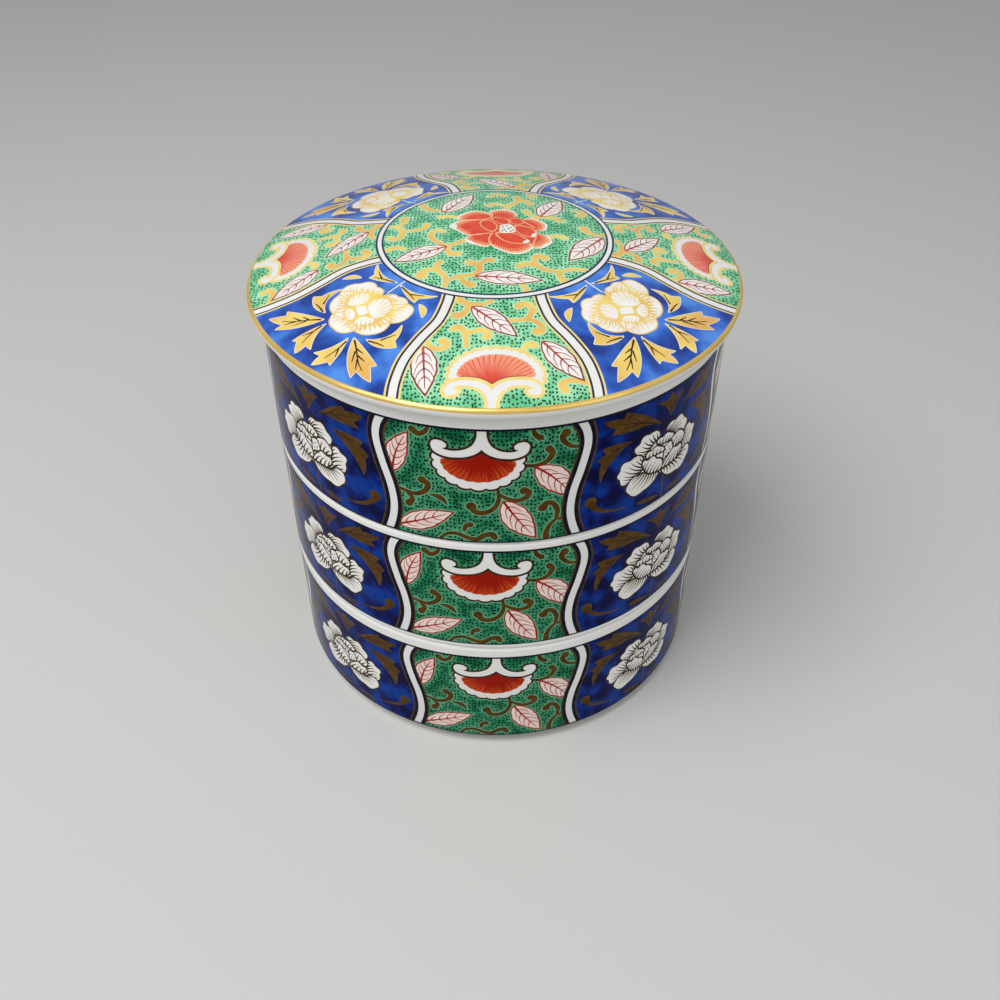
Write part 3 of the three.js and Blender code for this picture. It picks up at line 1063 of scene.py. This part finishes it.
def lid_profile():
    """The lid's profile from the axis under its dome, round the flange and the edge to its crown."""
    centre = DOME_CENTRE - LID_SEAT
    ceiling = DOME_RADIUS - LID_THICKNESS
    flange = NEST_RADIUS - FLANGE_WIDTH
    ceiling_edge = math.degrees(math.acos(flange / ceiling))
    return [
        *arc(0, centre, ceiling, 90, ceiling_edge, DOME_STEPS),
        *nesting_ring(flange, FLANGE_DROP),
        *arc(LID_RADIUS - EDGE_ROUND, EDGE_ROUND, EDGE_ROUND, -90, 0),
        *arc(LID_RADIUS - SHOULDER_ROUND, EDGE_ROUND, SHOULDER_ROUND, 0, DOME_EDGE_DEGREES)[1:],
        *arc(0, centre, DOME_RADIUS, DOME_EDGE_DEGREES, 90, DOME_STEPS)[1:],
    ]


def turned_mesh(name, profile, seat, hollow=False):
    """A mesh turned about the upright axis. Ends on the axis close in one point, and a hollow ring's
    profile closes on itself."""
    points, faces, rings = [], [], []
    for r, z in profile:
        count = 1 if r < MERGE else TURN_STEPS
        rings.append((len(points), count))
        for i in range(count):
            angle = 2 * math.pi * i / count
            points.append((r * math.cos(angle) * MM, r * math.sin(angle) * MM, (z + seat) * MM))
    for (a, m), (b, n) in zip(rings, rings[1:] + rings[:1] if hollow else rings[1:]):
        for i in range(TURN_STEPS):
            j = (i + 1) % TURN_STEPS
            face = [a + i % m, a + j % m, b + j % n, b + i % n]
            faces.append([v for k, v in enumerate(face) if v not in face[:k]])
    mesh = bpy.data.meshes.new(name)
    mesh.from_pydata(points, [], faces)
    mesh.shade_smooth()
    mesh.set_sharp_from_angle(angle=math.radians(SHARP_DEGREES))
    return mesh


def porcelain(material):
    """The four porcelain pieces, in place of the four solids."""
    for tier in TIERS:
        mesh = turned_mesh(tier, tier_profile(), tier_seat(tier))
        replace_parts(add_piece(f"{tier}_porcelain", mesh, tier, material), tier)
    mesh = turned_mesh("lid", lid_profile(), LID_SEAT)
    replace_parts(add_piece("lid_porcelain", mesh, "lid", material), "lid")


def rim_run(lift):
    """The gilt rim's profile so far above the glaze, from the dome over the lid's shoulder."""
    start = math.degrees(math.acos((RIM_START - RIM_OVERLAP) / DOME_RADIUS))
    dome = arc(0, DOME_CENTRE, DOME_RADIUS + lift, start, DOME_EDGE_DEGREES, 1)
    shoulder = arc(LID_RADIUS - SHOULDER_ROUND, LID_SEAT + EDGE_ROUND, SHOULDER_ROUND + lift,
                   DOME_EDGE_DEGREES, RIM_LOW_DEGREES)
    return dome[:-1] + shoulder


def gilt_rim(material):
    """The gold band round the lid's shoulder."""
    mesh = turned_mesh("lid_gilt_rim", rim_run(-ENAMEL_DEPTH) + rim_run(RIM_RISE)[::-1], 0.0, True)
    add_piece("lid_gilt_rim", mesh, "lid", material)


# Materials

# The tiers' enamels mirror less of the pale floor than the lid's clear enamels do of the sky
SHINE = {"tier": 0.05, "lid": 0.5}

# Gloss, as the least and the greatest roughness, and its drift per millimetre
COBALT_GLOSS = (0.08, 0.16)
CLEAR_GLOSS = (0.1, 0.16)
RICH_GLOSS = (0.1, 0.18)
LINE_GLOSS = (0.1, 0.2)
SEPIA_GLOSS = (0.12, 0.22)
GOLD_GLOSS = (0.2, 0.32)
GLOSS_DRIFT = 0.35

# Cobalt: the drift per millimetre, and the tones along it. The tiers' tones are darker, painted shade of
# the upright walls, and the lid's are lighter, painted light on its top.
COBALTS = {
    "tier": (0.12, ((0.40, (0, 4, 62)), (0.47, (0, 20, 94)), (0.61, (0, 56, 146)))),
    "lid": (0.09, ((0.36, (26, 60, 146)), (0.50, (46, 98, 196)), (0.66, (84, 146, 236)))),
}

# Plain enamels: the dark and the light tone, the drift per millimetre, the gloss and any share of metal.
# Sepia and cream are the same on both; the others are darker on the tiers, painted shade of the upright
# walls, and lighter on the lid, painted light on its top.
PLAIN_PLACES = (0.34, 0.66)
SHARED_ENAMELS = {
    SEPIA: ((44, 26, 10), (70, 46, 22), 0.5, SEPIA_GLOSS),
    CREAM: ((246, 241, 230), (253, 251, 246), 0.2, CLEAR_GLOSS),
}
PLAIN_ENAMELS = {
    "tier": {
        **SHARED_ENAMELS,
        RED_LINE: ((146, 20, 22), (178, 40, 36), 0.6, LINE_GLOSS),
        INK: ((8, 11, 28), (20, 24, 48), 0.4, LINE_GLOSS),
        RED: ((154, 22, 4), (170, 34, 10), 0.3, RICH_GLOSS),
        BLUSH: ((248, 214, 204), (252, 236, 226), 0.25, CLEAR_GLOSS),
        GOLD: ((76, 50, 8), (102, 72, 26), 0.3, GOLD_GLOSS, 0.3),
        PALE: ((96, 172, 132), (118, 184, 146), 0.2, RICH_GLOSS),
    },
    "lid": {
        **SHARED_ENAMELS,
        RED_LINE: ((130, 46, 40), (170, 66, 58), 0.6, LINE_GLOSS),
        INK: ((20, 30, 64), (44, 56, 92), 0.4, LINE_GLOSS),
        RED: ((224, 58, 32), (238, 84, 50), 0.3, RICH_GLOSS),
        BLUSH: ((251, 236, 229), (253, 249, 245), 0.3, CLEAR_GLOSS),
        GOLD: ((238, 184, 98), (255, 226, 122), 0.07, GOLD_GLOSS, 0.05),
        STRAW: ((248, 214, 122), (253, 230, 148), 0.3, GOLD_GLOSS),
        PALE: ((172, 234, 188), (196, 242, 206), 0.2, RICH_GLOSS),
    },
}

# Coral: the root of the fan on the design, and the tones at distances from it, darker on the tiers as
# painted shade and lighter on the lid as painted light.
CORALS = {
    "tier": ((0.0, 35.2), ((0.0, (148, 15, 0)), (8.6, (164, 26, 2)), (12.8, (208, 80, 32)))),
    "lid": ((-0.9, -68.6), ((0.0, (210, 44, 28)), (5.0, (228, 86, 64)), (9.5, (244, 146, 120)),
                            (16.0, (252, 184, 132)))),
}

# Dotted greens: the dark and the light tone and the dots' colour, darker on the tiers as painted shade and
# lighter on the lid as painted light.
GREEN_PLACES = (0.36, 0.64)
GREENS = {
    "tier": {
        GREEN: ((4, 90, 58), (34, 134, 92), (0, 20, 12)),
        MIST: ((25, 113, 77), (58, 149, 106), (0, 21, 13)),
        HAZE: ((46, 136, 96), (82, 164, 120), (0, 22, 14)),
    },
    "lid": {
        GREEN: ((84, 188, 130), (132, 218, 164), (14, 74, 52)),
        MIST: ((108, 202, 146), (150, 227, 175), (16, 78, 55)),
        HAZE: ((132, 216, 162), (168, 236, 186), (18, 82, 58)),
    },
}
DOT_SPACING = {"tier": 1.12, "lid": 1.04}
DOT_FLATNESS = 0.8
DOT_SPREAD = 0.6


def linear(red, green, blue):
    """A linear colour from one written as 0 to 255."""
    share = [c / 255 for c in (red, green, blue)]
    return [c / 12.92 if c <= 0.04045 else ((c + 0.055) / 1.055) ** 2.4 for c in share] + [1.0]


class Paint:
    """A glossy material and the nodes that feed its shader."""

    def __init__(self, name, roughness, metallic=0.0, shine=SHINE["lid"]):
        self.material = bpy.data.materials.new(name)
        self.material.use_nodes = True
        self.nodes = self.material.node_tree.nodes
        self.shader = self.nodes["Principled BSDF"]
        self.feed(self.shader, {"Roughness": roughness, "Metallic": metallic, "Specular IOR Level": shine})

    def feed(self, node, inputs):
        """Set a node's inputs to values, or link them to other nodes' outputs."""
        for label, value in inputs.items():
            if isinstance(value, bpy.types.NodeSocket):
                self.material.node_tree.links.new(value, node.inputs[label])
            else:
                node.inputs[label].default_value = value
        return node

    def noise(self, vector, scale, detail=3.0):
        """A noise texture's value."""
        node = self.nodes.new("ShaderNodeTexNoise")
        return self.feed(node, {"Vector": vector, "Scale": scale, "Detail": detail}).outputs["Fac"]

    def ramp(self, value, stops):
        """Colours along a value, from (place, colour) stops."""
        node = self.nodes.new("ShaderNodeValToRGB")
        elements = node.color_ramp.elements
        while len(elements) < len(stops):
            elements.new(0.5)
        for element, (place, colour) in zip(elements, stops):
            element.position = place
            element.color = linear(*colour)
        return self.feed(node, {"Fac": value}).outputs["Color"]

    def spread(self, value, source=(0.0, 1.0), target=(0.0, 1.0)):
        """A value spread from one range to another."""
        node = self.nodes.new("ShaderNodeMapRange")
        ranges = dict(zip(("From Min", "From Max", "To Min", "To Max"), (*source, *target)))
        return self.feed(node, {"Value": value, **ranges}).outputs["Result"]

    def maths(self, kind, operation, *values):
        """The outputs of an operation on numbers, kind Math, or on vectors, kind VectorMath."""
        node = self.nodes.new("ShaderNode" + kind)
        node.operation = operation
        return self.feed(node, dict(enumerate(values))).outputs

    def design(self, stretch=(1.0, 1.0, 1.0)):
        """The place on the design in millimetres, stretched."""
        place = self.nodes.new("ShaderNodeUVMap")
        place.uv_map = "design"
        node = self.nodes.new("ShaderNodeMapping")
        return self.feed(node, {"Vector": place.outputs["UV"], "Scale": stretch}).outputs["Vector"]

    def finish(self, colour, place, gloss, drift=GLOSS_DRIFT):
        """The material with its colour, and with gloss that varies a little over the surface."""
        roughness = self.spread(self.noise(place, drift), target=gloss)
        self.feed(self.shader, {"Base Color": colour, "Roughness": roughness})
        return self.material


def mottled(name, stops, drift, gloss, shine, metallic=0.0, detail=3.0):
    """An enamel whose tone drifts between the stops."""
    paint = Paint(name, gloss[1], metallic, shine)
    place = paint.design()
    return paint.finish(paint.ramp(paint.noise(place, drift, detail), stops), place, gloss)


def fan_coral(name, root, stops, shine):
    """Coral enamel, brushed outward from the root of the fan, from (distance in mm, colour) stops."""
    paint = Paint(name, roughness=0.14, shine=shine)
    place = paint.design()
    ray = paint.maths("VectorMath", "SUBTRACT", place, (*root, 0.0))["Vector"]
    length = paint.maths("VectorMath", "LENGTH", ray)["Value"]
    heading = paint.maths("VectorMath", "NORMALIZE", ray)["Vector"]
    strokes = paint.noise(heading, scale=16.0, detail=1.0)
    brush = paint.spread(strokes, source=(0.3, 0.7), target=(0.82, 1.18))
    reach = paint.maths("Math", "MULTIPLY", length, brush)["Value"]
    farthest = stops[-1][0]
    tones = [(distance / farthest, colour) for distance, colour in stops]
    return paint.finish(paint.ramp(paint.spread(reach, source=(0.0, farthest)), tones), place, RICH_GLOSS)


def dotted_green(name, deep, light, dot, spacing, shine):
    """Green enamel with a close spread of small dark dashes, so many millimetres apart."""
    paint = Paint(name, roughness=0.14, shine=shine)
    place = paint.design()
    ground = paint.ramp(paint.noise(place, scale=0.12), list(zip(GREEN_PLACES, (deep, light))))
    cells = paint.nodes.new("ShaderNodeTexVoronoi")
    cells.feature = "F1"
    cells.voronoi_dimensions = "2D"
    stretched = paint.design((1 / spacing, DOT_FLATNESS / spacing, 1.0))
    paint.feed(cells, {"Vector": stretched, "Scale": 1.0, "Randomness": DOT_SPREAD})
    dots = paint.spread(cells.outputs["Distance"], source=(0.25, 0.33))
    mix = paint.nodes.new("ShaderNodeMix")
    mix.data_type = "RGBA"
    paint.feed(mix, {"Factor": dots, "A": linear(*dot), "B": ground})
    return paint.finish(mix.outputs["Result"], place, RICH_GLOSS)


def bare_surface(paint, tones, drift, gloss, gloss_drift):
    """A surface without a design, whose tone and gloss drift so fast per metre."""
    place = paint.nodes.new("ShaderNodeTexCoord").outputs["Object"]
    return paint.finish(paint.ramp(paint.noise(place, drift), tones), place, gloss, gloss_drift)


def porcelain_glaze():
    """White glaze with a trace of cool drift and a soft gloss."""
    paint = Paint("porcelain_glaze", roughness=0.12)
    tones = ((0.3, (238, 236, 231)), (0.7, (246, 245, 242)))
    return bare_surface(paint, tones, drift=18.0, gloss=(0.08, 0.16), gloss_drift=40.0)


def gilding():
    """Gold of the lid's rim."""
    paint = Paint("gilding", roughness=0.25, metallic=0.5)
    tones = ((0.3, (242, 194, 92)), (0.7, (254, 220, 128)))
    return bare_surface(paint, tones, drift=60.0, gloss=(0.2, 0.3), gloss_drift=60.0)


def enamel_materials():
    """The enamels, keyed by colour and by where they lie: the tiers' copies are darker with painted shade,
    and the lid's are lighter with painted light.
    """
    made = {}
    for where, shine in SHINE.items():
        drift, stops = COBALTS[where]
        made[COBALT, where] = mottled(f"{COBALT}_{where}", stops, drift, COBALT_GLOSS, shine, detail=2.0)
        made[CORAL, where] = fan_coral(f"{CORAL}_{where}", *CORALS[where], shine)
        for colour, tones in GREENS[where].items():
            made[colour, where] = dotted_green(f"{colour}_{where}", *tones, DOT_SPACING[where], shine)
        for colour, (dark, light, drift, gloss, *metal) in PLAIN_ENAMELS[where].items():
            stops = list(zip(PLAIN_PLACES, (dark, light)))
            made[colour, where] = mottled(f"{colour}_{where}", stops, drift, gloss, shine, *metal)
    return made


# Stage, lights and camera, in metres, watts and degrees, with the lens and sensor in millimetres

FLOOR_HALF = 4.0
LAMP_AIM = (0, 0, 0.1)
LAMP_SIZE = 0.6
CAMERA_SPOT = (0.0, -0.2864, 0.2937)
CAMERA_PITCH = 40.616
CAMERA_YAW = 0.308
CAMERA_LENS = 37.17
CAMERA_NEAR = 0.01
SENSOR = 36.0


def stage(floor_colour, sky_colour, sky_strength):
    """A plain pale floor and a pale sky."""
    mesh = bpy.data.meshes.new("floor")
    corners = [(x * FLOOR_HALF, y * FLOOR_HALF, 0) for x, y in ((-1, -1), (1, -1), (1, 1), (-1, 1))]
    mesh.from_pydata(corners, [], [(0, 1, 2, 3)])
    floor = bpy.data.objects.new("floor", mesh)
    bpy.context.scene.collection.objects.link(floor)
    paint = Paint("floor", roughness=0.9)
    paint.feed(paint.shader, {"Base Color": linear(*floor_colour)})
    mesh.materials.append(paint.material)
    world = bpy.data.worlds.new("sky")
    world.use_nodes = True
    sky = world.node_tree.nodes["Background"]
    sky.inputs["Color"].default_value = linear(*sky_colour)
    sky.inputs["Strength"].default_value = sky_strength
    bpy.context.scene.world = world


def aimed(name, data, spot, ahead):
    """A lamp or camera at a spot, looking ahead."""
    holder = bpy.data.objects.new(name, data)
    holder.location = spot
    holder.rotation_euler = ahead.to_track_quat("-Z", "Y").to_euler()
    bpy.context.scene.collection.objects.link(holder)
    return holder


def lamp(name, spot, power):
    """A soft square lamp."""
    light = bpy.data.lights.new(name, "AREA")
    light.shape = "SQUARE"
    light.size = LAMP_SIZE
    light.energy = power
    aimed(name, light, spot, Vector(LAMP_AIM) - Vector(spot))


def camera():
    """The camera at the photograph's place and angle."""
    lens = bpy.data.cameras.new("camera")
    lens.sensor_width = SENSOR
    lens.lens = CAMERA_LENS
    lens.clip_start = CAMERA_NEAR
    pitch, yaw = math.radians(CAMERA_PITCH), math.radians(CAMERA_YAW)
    ahead = Vector((math.sin(yaw) * math.cos(pitch), math.cos(yaw) * math.cos(pitch), -math.sin(pitch)))
    bpy.context.scene.camera = aimed("camera", lens, CAMERA_SPOT, ahead)


# The object

enamels = enamel_materials()
porcelain(porcelain_glaze())
gilt_rim(gilding())
enamel_tiers(tier_sheet(), enamels)
enamel_lid(lid_sheet(), medallion_sheet(), enamels)
stage(floor_colour=(214, 213, 210), sky_colour=(235, 238, 242), sky_strength=0.4)
lamp("key", spot=(-0.36, -0.32, 0.95), power=6.6)
lamp("fill", spot=(0.45, -0.50, 0.65), power=0.8)
camera()

bpy.context.scene.view_settings.view_transform = "Standard"
